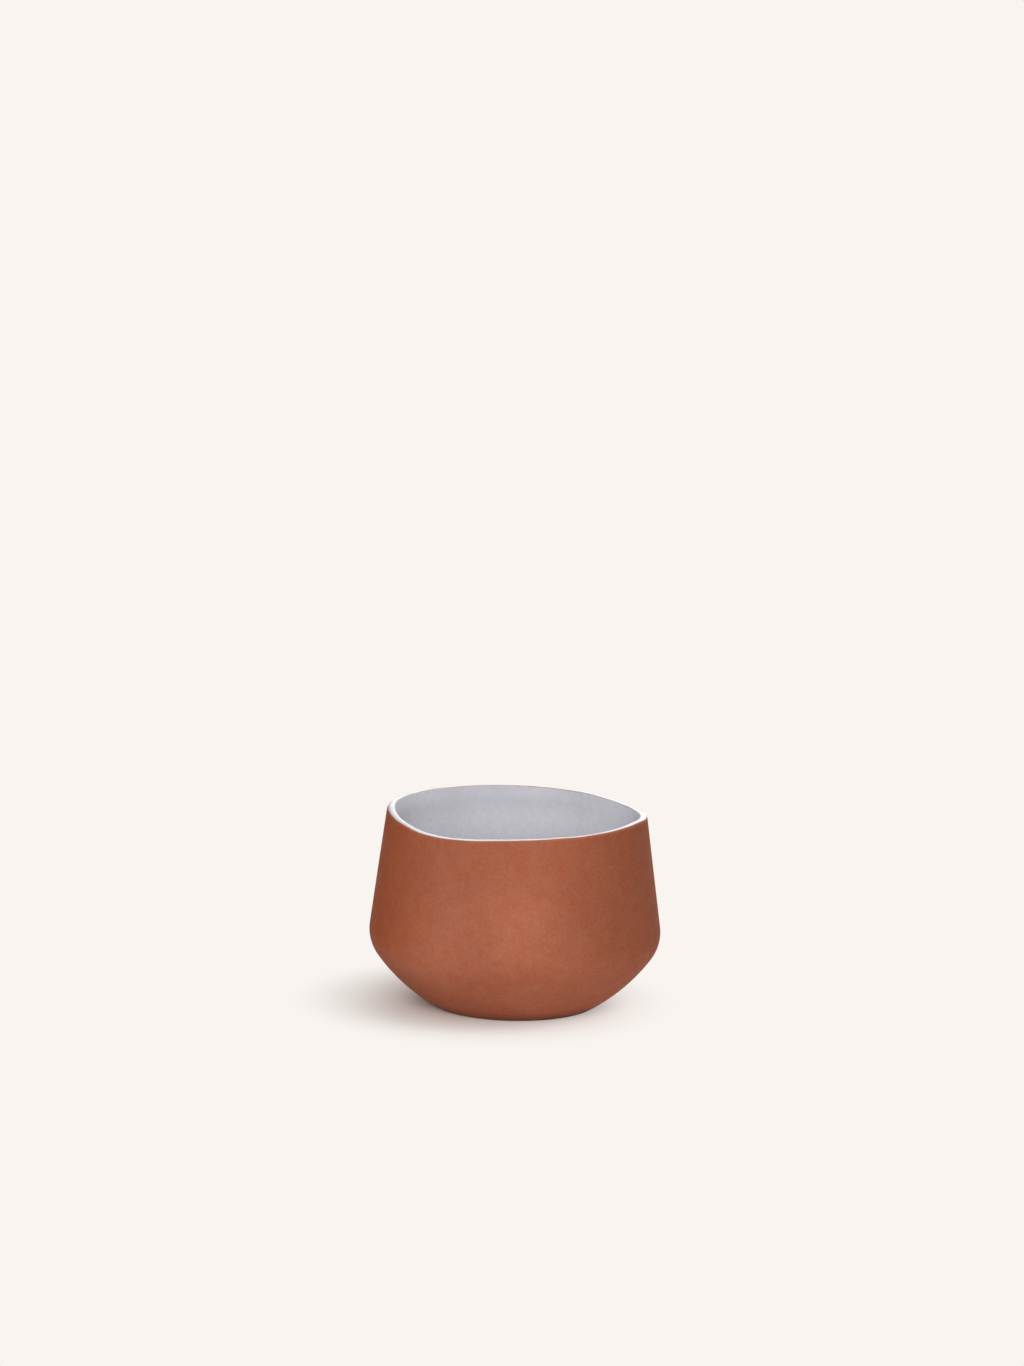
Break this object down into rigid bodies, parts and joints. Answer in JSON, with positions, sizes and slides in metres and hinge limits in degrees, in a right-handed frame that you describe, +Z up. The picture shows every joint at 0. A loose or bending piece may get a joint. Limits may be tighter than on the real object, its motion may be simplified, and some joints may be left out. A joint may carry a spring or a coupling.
{
  "type": "handle-less drinking cup",
  "caption": "Handle-less terracotta cup with a rounded bowl, a keeled belly, a tapering wall and an uneven hand-trimmed lip, glazed pale grey inside and white on the lip.",
  "frame": {"origin": "centre of the flat foot, on the surface that the cup stands on", "axes": "+Z up along the cup's axis, +X to the right in the picture, +Y away from the viewer"},
  "size_m": [0.095, 0.095, 0.0654],
  "materials": {
    "terracotta": "matte unglazed fired clay",
    "slip": "matte fired slip",
    "grey_glaze": "smooth pale lavender-grey glaze",
    "white_glaze": "glossy white glaze"
  },
  "bodies": {
    "root": {"lower_bowl": "terracotta", "upper_wall": "terracotta", "luting_slip": "slip", "inner_glaze": "grey_glaze", "lip_glaze": "white_glaze"}
  },
  "joints": []
}
